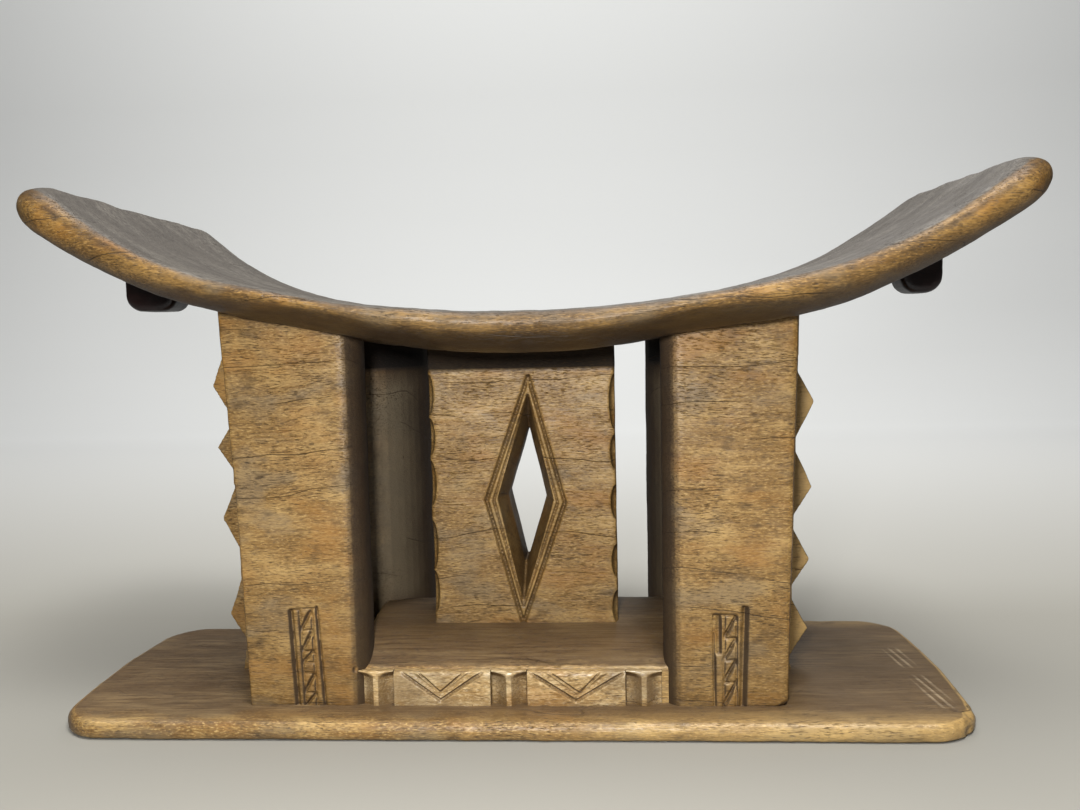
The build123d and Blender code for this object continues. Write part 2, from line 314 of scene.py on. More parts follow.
def survey(tree):
    """What the wood is painted by: where a point lies, how it faces, and the patterns of its grain."""
    place = add_node(tree, "ShaderNodeTexCoord").outputs["Object"]
    geometry = add_node(tree, "ShaderNodeNewGeometry").outputs
    x, y, z = add_node(tree, "ShaderNodeSeparateXYZ", {0: place}).outputs
    facing_x, facing_y, facing_z = add_node(
        tree, "ShaderNodeSeparateXYZ", {0: geometry["Normal"]}
    ).outputs

    # The fibres wander by about 4 mm over a hand's width.
    drift = add_node(tree, "ShaderNodeTexNoise", {"Vector": place, "Scale": 9.0, "Detail": 1.0})
    centred = add_node(
        tree,
        "ShaderNodeVectorMath",
        {0: drift.outputs["Color"], 1: (0.5, 0.5, 0.5)},
        operation="SUBTRACT",
    )
    fibre = add_node(
        tree,
        "ShaderNodeVectorMath",
        {0: centred.outputs[0], 1: (0.0, 0.010, 0.010), 2: place},
        operation="MULTIPLY_ADD",
    ).outputs[0]
    return SimpleNamespace(
        x=x,
        y=y,
        z=z,
        facing_x=facing_x,
        facing_y=facing_y,
        facing_z=facing_z,
        pointed=geometry["Pointiness"],
        streak=grain_cells(tree, fibre, 38, 1.5, 5.0),
        patch=grain_cells(tree, place, 34, 15, 4.0),
        dash=grain_cells(tree, fibre, 5.0, 0.55, 2.0),
        fleck=grain_cells(tree, fibre, 2.6, 0.8, 2.0),
        stain=grain_cells(tree, fibre, 15, 6, 4.0),
        region=grain_cells(tree, place, 50, 30, 1.0),
        cloud=grain_cells(tree, place, 48, 24, 3.0),
        broad=grain_cells(tree, place, 170, 26, 2.0),
        sway=grain_cells(tree, place, 110, 45, 2.0),
    )


def painted_shadow_under_seat(tree, wood):
    """How black the columns are painted just under the seat, as a painted shadow of the seat."""
    return overlap(
        tree,
        (distance(tree, wood.y), 0.045, 0.060, 1.0, 0.0),
        (wood.z, 0.2125, 0.2160, 0.0, 0.96),
        (distance(tree, wood.x), 0.150, 0.165, 1.0, 0.0),
    )


def column_wear_and_light(tree, wood, colour, worn_and_lit):
    """Feet darker than heads, painted light on the front of the right fin, and dust deep inside the stool.
    """
    colour = painted(tree, colour, "#54401f", (wood.z, 0.120, 0.030, 0.0, 0.28))
    # Painted light: the front of the right fin is painted pale, as if lit.
    beyond = (wood.x, 0.1685, 0.1700, 0.0, 0.75)
    colour = painted(tree, colour, worn_and_lit, beyond, (wood.facing_y, -0.5, -0.8))
    # The dust is grey and lies on the forward sides of the rear columns.
    deep, forward = (wood.y, 0.004, 0.012), (wood.facing_y, -0.35, -0.75)
    return painted(tree, colour, "#8f8269", deep, forward, (wood.z, 0.214, 0.200, 0.0, 0.38))


def saddle_rim(tree, wood, colour, pore_and_shade):
    """Darkening along the seat's front and rear edges, with painted shade underneath."""
    # The edge is darker in the middle of the saddle.
    from_middle = distance(tree, wood.x)
    colour = painted(
        tree, colour, pore_and_shade, (from_middle, 0.03, 0.14, 0.32, 0.0), (wood.facing_z, 0.80, 0.55)
    )
    # A dark, speckled line follows the arris between the dusty top and the rubbed edge.
    speckled = (wood.fleck, 0.36, 0.56, 0.35, 1.0)
    colour = painted(tree, colour, "#33230f", (wood.facing_z, 0.42, 0.70, 0.0, 0.85), speckled)
    # Painted shade: the underside of the edge in the middle of the saddle is made nearly black.
    return painted(
        tree, colour, "#0d0704", (from_middle, 0.08, 0.22, 0.6, 0.0), (wood.facing_z, -0.60, -0.90)
    )


def board_scrapes(tree, wood):
    """Two groups of pale scrapes across the grain near the board's right end."""
    slanting = weighed(tree, (wood.x, 190.0), (wood.y, 22.0))
    lines = add_node(tree, "ShaderNodeMath", {0: slanting}, operation="FRACT").outputs[0]
    scrape = overlap(tree, (lines, 0.55, 0.75), (wood.streak, 0.35, 0.55, 0.3, 1.0))
    off_line = distance(tree, weighed(tree, (wood.y, 0.03), (wood.x, 1.0)), 0.2505)
    rear = overlap(tree, (distance(tree, wood.y, 0.012), 0.014, 0.022, 1.0, 0.0))
    front = overlap(tree, (distance(tree, wood.y, -0.050), 0.020, 0.030, 1.0, 0.0))
    group = add_node(tree, "ShaderNodeMath", {0: rear, 1: front}, operation="MAXIMUM").outputs[0]
    return overlap(tree, scrape, group, (off_line, 0.004, 0.007, 0.6, 0.0))


def oiled_wood(
    name,
    heart,
    sap,
    pore_and_shade,
    worn_and_lit,
    dust,
    dust_share,
    roughness,
    side_shade=(0.30, 0.85, 0.5),
    level_from=0.80,
    under_from=-0.12,
    inner_shade_share=0.90,
    arris_share=0.5,
    painted_light_right=0.0,
    column_shadow_and_wear=False,
    saddle=False,
    scuffed=False,
):
    """Sese wood, adzed, oiled and handled: the grain runs along X, and cut ends show it as specks."""
    material, tree = empty_material(name)
    wood = survey(tree)
    facing = wood.facing_z

    colour = painted(tree, heart, sap, (wood.streak, 0.32, 0.68))
    colour = painted(tree, colour, heart, (wood.patch, 0.46, 0.66, 0.0, 0.70))
    colour = painted(tree, colour, worn_and_lit, (wood.patch, 0.50, 0.32, 0.0, 0.55))
    colour = painted(tree, colour, worn_and_lit, (wood.fleck, 0.54, 0.72, 0.0, 0.75))
    colour = painted(tree, colour, pore_and_shade, (wood.fleck, 0.46, 0.28, 0.0, 0.58))

    # Hand-sized clouds: orange where the oil has gone deep, grey where it has worn off.
    colour = painted(tree, colour, "#a8742f", (wood.cloud, 0.54, 0.66, 0.0, 0.45))
    colour = painted(tree, colour, "#83755d", (wood.cloud, 0.46, 0.36, 0.0, 0.45))
    # Painted light: the wood is painted paler towards the right, as if lit more strongly from that side.
    if painted_light_right:
        colour = painted(tree, colour, worn_and_lit, (wood.x, -0.05, 0.20, 0.0, painted_light_right))

    # Rubbed-in dirt in scattered greyish stains, and painted shade on the sides that face left and right.
    colour = painted(tree, colour, pore_and_shade, (wood.stain, 0.56, 0.74, 0.0, 0.6))
    side_low, side_high, side_share = side_shade
    sideways = distance(tree, wood.facing_x)
    colour = painted(tree, colour, pore_and_shade, (sideways, side_low, side_high, 0.0, side_share))

    # Painted shade: upright sides that face the middle of the stool are darkened.
    outward = overlap(tree, wood.facing_x, wood.x, 2.0)
    upright = (distance(tree, facing), 0.25, 0.50, 1.0, 0.0)
    inner = overlap(tree, (outward, -0.02, -0.11, 0.0, inner_shade_share), upright)
    colour = painted(tree, colour, "#281a0b", inner)
    # Painted shadow: the columns are painted black just under the seat.
    if column_shadow_and_wear:
        seat_shadow = painted_shadow_under_seat(tree, wood)
        colour = painted(tree, colour, "#0d0704", seat_shadow)
        colour = column_wear_and_light(tree, wood, colour, worn_and_lit)
    if saddle:
        colour = saddle_rim(tree, wood, colour, pore_and_shade)

    # Open pores: brown dashes about 5 mm long and half a millimetre high.
    pores = overlap(tree, (wood.dash, 0.57, 0.68), (wood.region, 0.35, 0.62, 0.35, 1.0))
    colour = painted(tree, colour, pore_and_shade, pores, 0.70)

    # Drying checks: broken, wavy hairlines along the fibres, about one to every 26 mm of height.
    rise = weighed(tree, (wood.z, 1 / 0.026), (wood.y, 9.0), (wood.sway, 1.3))
    phase = add_node(tree, "ShaderNodeMath", {0: rise}, operation="FRACT").outputs[0]
    off_line = distance(tree, phase, 0.5)
    checks = overlap(tree, (off_line, 0.003, 0.010, 1.0, 0.0), (wood.region, 0.46, 0.56))
    colour = painted(tree, colour, pore_and_shade, checks, 0.8)

    # Handling wears the arrises pale, which also stands as painted highlight on the rims. Dirt stays in the
    # cuts, and painted shade darkens corners, creases and what faces down.
    arris = overlap(tree, (wood.pointed, 0.52, 0.57))
    colour = painted(tree, colour, worn_and_lit, arris, arris_share)
    hollow = add_node(
        tree, "ShaderNodeAmbientOcclusion", {"Distance": 0.012}, samples=6, only_local=scuffed
    )
    hidden = overlap(tree, (hollow.outputs["AO"], 0.15, 0.80, 0.85, 0.0))
    cut_in = overlap(tree, (wood.pointed, 0.485, 0.43, 0.0, 0.8))
    grime_and_shade = add_node(tree, "ShaderNodeMath", {0: hidden, 1: cut_in}, operation="MAXIMUM").outputs[0]
    colour = painted(tree, colour, pore_and_shade, grime_and_shade)
    # Painted shade: what faces down is darkened.
    colour = painted(tree, colour, pore_and_shade, (facing, under_from, under_from - 0.40, 0.0, 0.90))

    # Dust and dry wood on what faces up, but not on rims that turn away from the middle.
    level = weighed(tree, (outward, -1.0), start=facing)
    upward = overlap(tree, (level, level_from, level_from + 0.10, 0.0, dust_share))
    if scuffed:
        # Heels keep the strip along the front and rear edges cleaner.
        upward = overlap(tree, upward, (distance(tree, wood.y), 0.080, 0.098, 1.0, 0.35))
    dusty = painted(tree, dust[0], dust[1], (wood.streak, 0.34, 0.64))
    dusty = painted(tree, dusty, dust[0], (wood.broad, 0.44, 0.56, 0.0, 0.55))
    dusty = painted(tree, dusty, dust[0], (wood.patch, 0.40, 0.64, 0.0, 0.4))
    dusty = painted(tree, dusty, pore_and_shade, pores, 0.6)
    colour = painted(tree, colour, dusty, upward)
    if scuffed:
        colour = painted(tree, colour, "#c9b391", board_scrapes(tree, wood))

    # Worn arrises shine most; dust, the inward sides painted in shade and the painted shadow under the seat
    # stay matt.
    gloss = overlap(tree, (wood.patch, 0.3, 0.7, roughness - 0.06, roughness + 0.08))
    gloss = weighed(tree, (upward, 0.12), (arris, -0.10), start=gloss)
    matt = overlap(tree, inner, 0.9)
    gloss = add_node(tree, "ShaderNodeMath", {0: gloss, 1: matt}, operation="MAXIMUM").outputs[0]
    if column_shadow_and_wear:
        gloss = add_node(tree, "ShaderNodeMath", {0: gloss, 1: seat_shadow}, operation="MAXIMUM").outputs[0]

    relief = weighed(tree, (wood.streak, 0.45), (pores, -0.6), (wood.fleck, 0.25), (checks, -1.0))
    bump = add_node(tree, "ShaderNodeBump", {"Height": relief, "Distance": 0.0005, "Strength": 0.9})
    shader = add_node(
        tree,
        "ShaderNodeBsdfPrincipled",
        {"Base Color": colour, "Roughness": gloss, "Normal": bump.outputs[0], "IOR": 1.5},
    )
    add_node(tree, "ShaderNodeOutputMaterial", {"Surface": shader.outputs[0]})
    return material


# Columns and fins: honey brown with pale worn patches, darker at the feet, a painted shadow in black under
# the seat and painted light on the right fin.
column_wood = oiled_wood(
    "column_wood",
    heart="#87642f",
    sap="#ae8a52",
    pore_and_shade="#3d2a14",
    worn_and_lit="#cba76a",
    dust=("#66502f", "#7d684a"),
    dust_share=0.75,
    roughness=0.46,
    column_shadow_and_wear=True,
)
# Foot board and step: a coat of trodden dust in two browns, yellow wood at the worn rims and scrapes,
# and painted light towards the right.
base_wood = oiled_wood(
    "base_wood",
    heart="#805f34",
    sap="#ac8850",
    pore_and_shade="#3a2a18",
    worn_and_lit="#dcb877",
    dust=("#553f27", "#8a7250"),
    dust_share=0.92,
    roughness=0.38,
    level_from=0.78,
    under_from=-0.50,
    painted_light_right=0.50,
    scuffed=True,
)
# Posts and panels: the palest and smoothest wood, darker only in the cuts and on the flanks of the hollows,
# from dirt and painted shade.
carving_wood = oiled_wood(
    "carving_wood",
    heart="#ab8955",
    sap="#d8b780",
    pore_and_shade="#5a4226",
    worn_and_lit="#f2dbad",
    dust=("#94744a", "#b0905f"),
    dust_share=0.3,
    roughness=0.28,
    side_shade=(0.12, 0.50, 0.60),
    inner_shade_share=0.0,
)
# Seat: grey dust on the saddle over dark oiled wood, with its sides and its nearly black underside
# darkened as painted shade.
seat_wood = oiled_wood(
    "seat_wood",
    heart="#674a22",
    sap="#96723a",
    pore_and_shade="#33230f",
    worn_and_lit="#bd9454",
    dust=("#443e37", "#746e64"),
    dust_share=0.95,
    roughness=0.46,
    level_from=0.84,
    under_from=-0.52,
    arris_share=0.15,
    painted_light_right=0.10,
    saddle=True,
)


def near_black_wood(name):
    """The same wood, nearly black, with a clear shine."""
    material, tree = empty_material(name)
    place = add_node(tree, "ShaderNodeTexCoord").outputs["Object"]
    # Cells 17 mm long and 3 mm thick: thicker than real fibres, so that they show on the black.
    grain = grain_cells(tree, place, 1000 / 60, 1000 / 320, 3.0)
    colour = painted(tree, "#0c0504", "#24100c", grain)
    bump = add_node(tree, "ShaderNodeBump", {"Height": grain, "Distance": 0.0003, "Strength": 0.6})
    shader = add_node(
        tree,
        "ShaderNodeBsdfPrincipled",
        {"Base Color": colour, "Roughness": 0.32, "IOR": 1.5, "Normal": bump.outputs[0]},
    )
    add_node(tree, "ShaderNodeOutputMaterial", {"Surface": shader.outputs[0]})
    return material


lug_wood = near_black_wood("lug_wood")


# ==== Seat ====
def saddle_height(x, low, centre_radius, wing_start, wing_radius):
    """Height of a saddle curve at x from the seat's middle: a shallow arc, then a tighter one."""
    x = abs(x)
    if x <= wing_start:
        return low + centre_radius - sqrt(centre_radius**2 - x**2)
    slope_start = wing_start / centre_radius
    slope_end = slope_start + (x - wing_start) / wing_radius
    start = low + centre_radius - sqrt(centre_radius**2 - wing_start**2)
    return start + wing_radius * (sqrt(1 - slope_start**2) - sqrt(1 - slope_end**2))


def seat_top(x):
    """Height of the seat's upper surface at x from its middle."""
    return saddle_height(x, SEAT_TOP, centre_radius=694, wing_start=165, wing_radius=235)


def seat_under(x):
    """Height of the seat's underside at x from its middle."""
    low = SEAT_TOP - SEAT_THICKNESS
    return saddle_height(x, low, centre_radius=700, wing_start=150, wing_radius=280)


def cut_to_seat(piece, x, other_x, above):
    """Cuts the piece off along a straight slope, so many millimetres above the seat's underside at two x."""
    z, other_z = seat_under(x - SEAT_X) + above, seat_under(other_x - SEAT_X) + above
    run, rise = other_x - x, other_z - z
    slice_at(piece, (x, 0, z), (-rise, 0, run) if run > 0 else (rise, 0, -run), clear=True)


# How each wing of the seat differs from the other, in millimetres: rounding of the tip's upper half, loss
# of length while bending, skew at the front and what the rear adds, twist, how much less undercut the tip
# is, and the place, reach and height of the rise in the underside.
LEFT_WING = SimpleNamespace(
    nose=18, narrowing=17, skew=(0, 9), tilt=8, undercut_lost=14, rise=4.5, rise_x=-135, rise_reach=60
)
RIGHT_WING = SimpleNamespace(
    nose=15, narrowing=19, skew=(2, -5), tilt=5, undercut_lost=9, rise=3.4, rise_x=95, rise_reach=38
)
UNDERCUT = 25.0
TIP_UNDER = 8.0
# Shares of the thickness: where the undercut ends, and where the tip reaches out furthest.
UNDERCUT_TOP = 0.66
TIP_MIDDLE = 0.45


def bent_to_saddle(point):
    """Where a point of the flat board lies once the board is bent into the saddle."""
    x = point.x - SEAT_X
    wing = LEFT_WING if x < 0 else RIGHT_WING
    share = point.z / SEAT_THICKNESS
    back = (point.y + SEAT_HALF_DEPTH) / (2 * SEAT_HALF_DEPTH)
    out = abs(x) / SEAT_REACH

    # The tips are rounded above and below, and run askew towards the rear.
    over = max(0, share - TIP_MIDDLE) / (1 - TIP_MIDDLE)
    below = max(0, TIP_MIDDLE - share) / TIP_MIDDLE
    nose = wing.nose * (1 - sqrt(1 - over**2)) + TIP_UNDER * (1 - sqrt(1 - below**2))
    skew = wing.skew[0] + wing.skew[1] * back**2
    roll_off = out**6
    bent_x = x - copysign(wing.narrowing * roll_off, x)
    height = (1 - share) * seat_under(bent_x) + share * seat_top(bent_x)
    x -= copysign((nose + skew) * roll_off, x)

    # The long edges are undercut, less so towards the tips.
    undercut = (UNDERCUT - wing.undercut_lost * out) * (max(0, UNDERCUT_TOP - share) / UNDERCUT_TOP) ** 1.8
    y = point.y * (1 - undercut / SEAT_HALF_DEPTH)

    # The wings are twisted a little at the rear, and the underside rises at the columns' faces.
    height += wing.tilt * x / SEAT_REACH * back
    rise = 0
    for side in (LEFT_WING, RIGHT_WING):
        rise += side.rise * exp(-(((x - side.rise_x) / side.rise_reach) ** 2))
    height += rise * (1 - share) * (y / FACE_Y) ** 2
    return (SEAT_X + x, y, height)


seat = rounded_board(
    "carved_seat",
    (SEAT_X - SEAT_REACH - 1, -SEAT_HALF_DEPTH, 0),
    (SEAT_X + SEAT_REACH + 1, SEAT_HALF_DEPTH, SEAT_THICKNESS),
    corner_radius=25,
    top_round=6,
    top_segments=4,
    under_round=5,
)
slice_across(seat, 0, [SEAT_X + station for station in range(-276, 277, 12)])
slice_across(seat, 1, range(-100, 101, 20))
slice_across(seat, 2, range(6, 18, 2))
shift_points(seat, bent_to_saddle)
hand_finish(seat, voxel=1.6, rub=4, swell_depth=1.6, chatter_depth=0.5, keep=0.45)
settle(seat, seat_wood, "seat_wood", "seat")

# ==== Base board ====
END_BOW = 7.0
# The rear left corner: how far it is drawn in, and where that starts and over what length it grows.
CORNER_LOSS = 17.0
CORNER_START_X = -120.0
CORNER_RUN = 100.0
# Places and half sizes of the chips at the front right corner.
CHIPS = (
    ((240, -103, 12), (12, 4, 3)),
    ((255, -99, 11), (6, 5, 3.5)),
    ((264, -86, 12), (5, 6, 3)),
    ((270, -74, 10), (4, 5, 4)),
    ((262, -94, 4), (5, 5, 4)),
)


def board_outline(point):
    """Bows the board's ends and draws in its rear left corner."""
    x = point.x - BASE_X
    share = point.y / BASE_HALF_DEPTH
    x -= copysign(END_BOW * share**2 * (abs(x) / BASE_HALF) ** 4, x)
    y = point.y
    if x < CORNER_START_X and y > 0:
        y -= CORNER_LOSS * min(1, (CORNER_START_X - x) / CORNER_RUN) * share
    return (x + BASE_X, y, point.z)


# The right end is worn 3 mm short.
base = rounded_board(
    "carved_base",
    (BASE_X - BASE_HALF, -BASE_HALF_DEPTH, 0),
    (BASE_X + BASE_HALF - 3, BASE_HALF_DEPTH, BASE_TOP),
    corner_radius=30,
    top_round=6.5,
    top_segments=5,
    under_round=3,
)
slice_across(base, 0, range(-270, 271, 30))
slice_across(base, 1, range(-90, 91, 30))
shift_points(base, board_outline)
carve_away(base, [scoop(*chip) for chip in CHIPS])
hand_finish(base, voxel=1.8, rub=2, swell_depth=0.9, chatter_depth=0.5, keep=0.6)
settle(base, base_wood, "base_wood", "base")


# ==== Step ====
def dome_height(y):
    """Height of the step's domed floor at y."""
    rise = STEP_CROWN_Z - STEP_EDGE_Z
    radius = (FACE_Y**2 + rise**2) / (2 * rise)
    return STEP_CROWN_Z - radius + sqrt(radius**2 - y**2)


step = block(
    "carved_step",
    (SUPPORT_X - STEP_HALF, -RECESS_Y, BASE_TOP - SUNK),
    (SUPPORT_X + STEP_HALF, RECESS_Y, STEP_EDGE_Z),
)
slice_across(step, 1, range(-64, 65, 8))
shift_points(step, lambda p: (p.x, p.y, dome_height(p.y) if p.z > BASE_TOP else p.z))
hand_finish(step, voxel=1.6, rub=2, swell_depth=0.9, chatter_depth=0.4, keep=0.7)
settle(step, base_wood, "base_wood", "step")

# ==== Corner columns ====
FLARE = 2.6
FLARE_START = 150.0
FLARE_RUN = 100.0


def corner_column(name, end, face, inner, strip, foot_round, knot):
    """A column flat outside and rounded towards the stool's middle, with a carved strip low on its face."""

    def x_at(reach):
        return SUPPORT_X + end * reach

    outer_x = x_at(COLUMN_REACH)
    low_x, high_x = sorted((x_at(inner), outer_x))
    low_y, high_y = sorted((face * CREST_Y, face * FACE_Y))
    column = block(name, (low_x, low_y, BASE_TOP - SUNK), (high_x, high_y, ROUGH_TOP))
    # The right columns are rubbed rounder outside.
    for reach, out, radius, segments in (
        (inner, CREST_Y, 50, 14),
        (inner, FACE_Y, 12, 7),
        (COLUMN_REACH, FACE_Y, 3.2 if end > 0 else 1.5, 2),
    ):
        corner = Vector((x_at(reach), face * out))
        round_off(column, radius, segments, lambda ends: all((p.xy - corner).length < 0.1 for p in ends))
    # The outer side leans in towards the foot.
    pick(column, "VERT", lambda at: abs(at[0].x - outer_x) < 5 and at[0].z < 20)
    bpy.ops.transform.translate(value=(-end * COLUMN_DRAFT * MM, 0, 0))
    if end < 0:
        # The left columns flare a little towards the seat.
        slice_across(column, 2, (FLARE_START, 190, 225))

        def flared(p):
            share = max(0, (p.z - FLARE_START) / FLARE_RUN) if abs(p.x - outer_x) < 9 else 0
            return (p.x - FLARE * share, p.y, p.z)

        shift_points(column, flared)
    if foot_round:
        foot_x = x_at(COLUMN_REACH - COLUMN_DRAFT)
        round_off(column, foot_round, 5, lambda ends: all(p.z < 11 and abs(p.x - foot_x) < 5 for p in ends))
    if knot:
        carve_away(column, [scoop(knot, (1.8, 1.6, 2.4))])
    cut_to_seat(column, x_at(inner), outer_x, above=9)
    carve_away(column, [gouge(*line, face * FACE_Y) for line in strip])
    hand_finish(column, voxel=0.7, rub=1, swell_depth=0.9, chatter_depth=0.25, keep=0.22)
    return column


# Cuts of the carved strips: start and end in X and Z, width and depth. First the long lines and the
# head, then the rungs, then the slanting cuts between them.
LEFT_STRIP = (
    ((-140.6, 71), (-138.2, 11), 3.6, 2.2),
    ((-135.4, 72), (-133.6, 11), 1.8, 1.7),
    ((-127.8, 72), (-126.4, 11), 1.8, 1.7),
    ((-124.6, 74), (-121.2, 11), 2.4, 2.0),
    ((-142.0, 72), (-124.6, 73), 1.6, 1.6),
    ((-135.0, 59), (-127.6, 59.5), 1.8, 2.0),
    ((-134.8, 46), (-127.4, 46.5), 1.8, 2.0),
    ((-134.6, 39), (-127.2, 39), 1.8, 2.0),
    ((-134.2, 32.5), (-127.0, 32.5), 1.8, 2.0),
    ((-134.0, 20), (-126.8, 20), 1.8, 2.0),
    ((-134.6, 60), (-128.6, 71), 2.6, 2.4),
    ((-134.2, 47), (-128.4, 58), 2.6, 2.4),
    ((-134.0, 39.5), (-128.0, 46), 2.4, 2.2),
    ((-133.6, 21), (-127.6, 31.5), 2.6, 2.4),
    ((-133.4, 12), (-127.4, 19), 2.4, 2.2),
)
RIGHT_STRIP = (
    ((116.0, 67.5), (116.4, 11), 2.0, 2.0),
    ((118.8, 67), (118.8, 45), 5.2, 2.0),
    ((122.4, 67.5), (121.8, 11), 1.8, 1.8),
    ((129.8, 67), (129.4, 11), 1.8, 1.8),
    ((134.6, 72), (132.6, 12), 5.4, 2.4),
    ((116.0, 68), (130.0, 67.5), 1.8, 1.8),
    ((122.0, 53.5), (129.6, 54), 1.8, 2.0),
    ((122.0, 40), (129.6, 40.5), 1.8, 2.0),
    ((122.0, 26.5), (129.6, 27), 1.8, 2.0),
    ((122.6, 55), (129.0, 66.5), 2.8, 2.4),
    ((122.6, 41.5), (129.0, 53), 2.8, 2.4),
    ((122.6, 28), (129.0, 39.5), 2.8, 2.4),
    ((122.6, 14), (129.0, 26), 2.8, 2.4),
)

# Node, end, face, reach of the inner side, strip, rounding of the foot, and place of a knot.
for name, end, face, inner, strip, foot_round, knot in (
    ("front_left_column", -1, -1, 90.5, LEFT_STRIP, None, (-102, -FACE_Y, 34.4)),
    ("front_right_column", 1, -1, 91, RIGHT_STRIP, 7, None),
    ("rear_left_column", -1, 1, 70, LEFT_STRIP, None, None),
    ("rear_right_column", 1, 1, 87, RIGHT_STRIP, None, None),
):
    column = corner_column("carved_" + name, end, face, inner, strip, foot_round, knot)
    settle(column, column_wood, "column_wood", name)

# ==== Pierced middle column ====
MIDDLE_HALF = 60.0
MIDDLE_Y = 30.0
MIDDLE_LOW = 44.0
LEAN = radians(2.4)
DIAMOND_X = 1.5
DIAMOND_Z = 131.0
FRAME_Z = 129.6
# Half heights of the piercing and of its splay, and the width for each millimetre of height.
PIERCING = 47.0
PIERCING_ASPECT = 12.5 / 47
SPLAY_INNER = 44.6
SPLAY_OUTER = 79.0
SPLAY_ASPECT = 0.262
SPLAY_Y = 23.3
SPLAY_LENGTH = 26.0


def four_sided(rear_half, front_half, aspect, y, length):
    """A bar along Y that leans with the piercing, with tall diamond ends of the given half heights."""
    nothing_selected()
    bpy.ops.mesh.primitive_cone_add(
        vertices=4, radius1=rear_half * MM, radius2=front_half * MM, depth=length * MM
    )
    bar = bpy.context.object
    bar.data.transform(Matrix.Diagonal((aspect, 1, 1, 1)))
    bar.data.transform(Matrix.Rotation(pi / 2, 4, "X"))
    bar.data.transform(Matrix.Rotation(LEAN, 4, "Y"))
    bar.data.transform(Matrix.Translation(Vector((DIAMOND_X, y, DIAMOND_Z)) * MM))
    return bar


def diamond_groove(face, half_width, half_height, width, depth):
    """Four cutters of a groove around the piercing, each a little wider and deeper than the last."""
    corners = [(0, half_height), (half_width, 0), (0, -half_height), (-half_width, 0)]
    turned = [
        (DIAMOND_X + x * cos(LEAN) + z * sin(LEAN), FRAME_Z + z * cos(LEAN) - x * sin(LEAN))
        for x, z in corners
    ]
    return [
        gouge(here, there, width + 0.07 * turn, depth + 0.04 * turn, face * MIDDLE_Y)
        for turn, (here, there) in enumerate(zip(turned, turned[1:] + turned[:1]))
    ]


middle = block(
    "carved_central_column",
    (-MIDDLE_HALF, -MIDDLE_Y, MIDDLE_LOW),
    (MIDDLE_HALF, MIDDLE_Y, SEAT_TOP - SEAT_THICKNESS + SUNK),
)
round_off(middle, 2, 3, lambda ends: abs(ends[0].z - ends[1].z) > 1)
carve_away(middle, [four_sided(PIERCING, PIERCING, PIERCING_ASPECT, 0, 100)])
carve_away(middle, [four_sided(SPLAY_INNER, SPLAY_OUTER, SPLAY_ASPECT, -SPLAY_Y, SPLAY_LENGTH)])
carve_away(middle, [four_sided(SPLAY_OUTER, SPLAY_INNER, SPLAY_ASPECT, SPLAY_Y, SPLAY_LENGTH)])
# Face, half width and half height of each groove's diamond, then its width and depth.
for groove in (
    (-1, 25.3, 80.6, 3.4, 2.6),
    (-1, 20.6, 68.6, 2.6, 2.0),
    (1, 25.4, 80.8, 3.3, 2.6),
    (1, 20.7, 68.8, 2.5, 2.0),
):
    carve_away(middle, diamond_groove(*groove))
# Scallops down the four corners, from the highest to the lowest.
for face in (-1, 1):
    for edge_x, spans in (
        (-MIDDLE_HALF, ((186, 213), (160, 184.6), (127, 157), (85, 118), (56, 85))),
        (MIDDLE_HALF, ((175, 211), (149, 172), (117, 140), (79, 101), (49, 71))),
    ):
        for low, high in spans:
            scallop = scoop((edge_x, face * MIDDLE_Y, (low + high) / 2), (3.6, 6, (high - low) / 2))
            carve_away(middle, [scallop])
hand_finish(middle, voxel=0.7, rub=1, swell_depth=0.8, chatter_depth=0.25, keep=0.25)
settle(middle, column_wood, "column_wood", "central_column")

# ==== Toothed fins ====
FIN_HALF = 10.0
FIN_ROOT = -36.0


def toothed_fin(name, end, head, foot, tip_out, valley_out, tips, valleys):
    """A board at mid-depth whose outer edge is drawn out into teeth, leaning with the columns' sides."""

    def side_x(out, z):
        lean = COLUMN_DRAFT * (SEAT_TOP - z) / (SEAT_TOP - BASE_TOP)
        return SUPPORT_X + end * (COLUMN_REACH - lean + out)

    reach_at = {ROUGH_TOP: head, tips[0] + 19: head, BASE_TOP - SUNK: foot}
    for tip, (valley_high, valley_low) in zip(tips, valleys):
        reach_at.update({tip: tip_out, valley_high: valley_out, valley_low: valley_out})
    root_x, edge_x = side_x(FIN_ROOT, SEAT_TOP), side_x(head, SEAT_TOP)
    low_x, high_x = sorted((root_x, edge_x))
    fin = block(name, (low_x, -FIN_HALF, BASE_TOP - SUNK), (high_x, FIN_HALF, ROUGH_TOP))
    slice_across(fin, 2, [z for z in reach_at if BASE_TOP < z < ROUGH_TOP])

    def drawn_out(p):
        station = min(reach_at, key=lambda z: abs(z - p.z))
        out = reach_at[station] if abs(p.x - edge_x) < 0.5 else FIN_ROOT
        return (side_x(out, p.z), p.y, p.z)

    shift_points(fin, drawn_out)
    tilt = (seat_under(edge_x - SEAT_X) - seat_under(root_x - SEAT_X)) / (edge_x - root_x)
    slice_at(fin, (edge_x, 0, seat_under(edge_x - SEAT_X) + 1), (-tilt, 0, 1), clear=True)
    hand_finish(fin, voxel=1.0, rub=2, swell_depth=0.7, chatter_depth=0.3, keep=0.5)
    return fin


left_fin = toothed_fin(
    "carved_left_fin",
    end=-1,
    head=27,
    foot=29,
    tip_out=35,
    valley_out=25.5,
    tips=(206.5, 165, 116.5, 50.5),
    valleys=((190, 179), (150, 137), (97, 75), (34, 28)),
)
settle(left_fin, column_wood, "column_wood", "left_fin")
right_fin = toothed_fin(
    "carved_right_fin",
    end=1,
    head=12,
    foot=14,
    tip_out=23,
    valley_out=12,
    tips=(189.5, 133.5, 85.5, 39.5),
    valleys=((166, 157), (115, 105), (68, 59), (21, 16)),
)
settle(right_fin, column_wood, "column_wood", "right_fin")

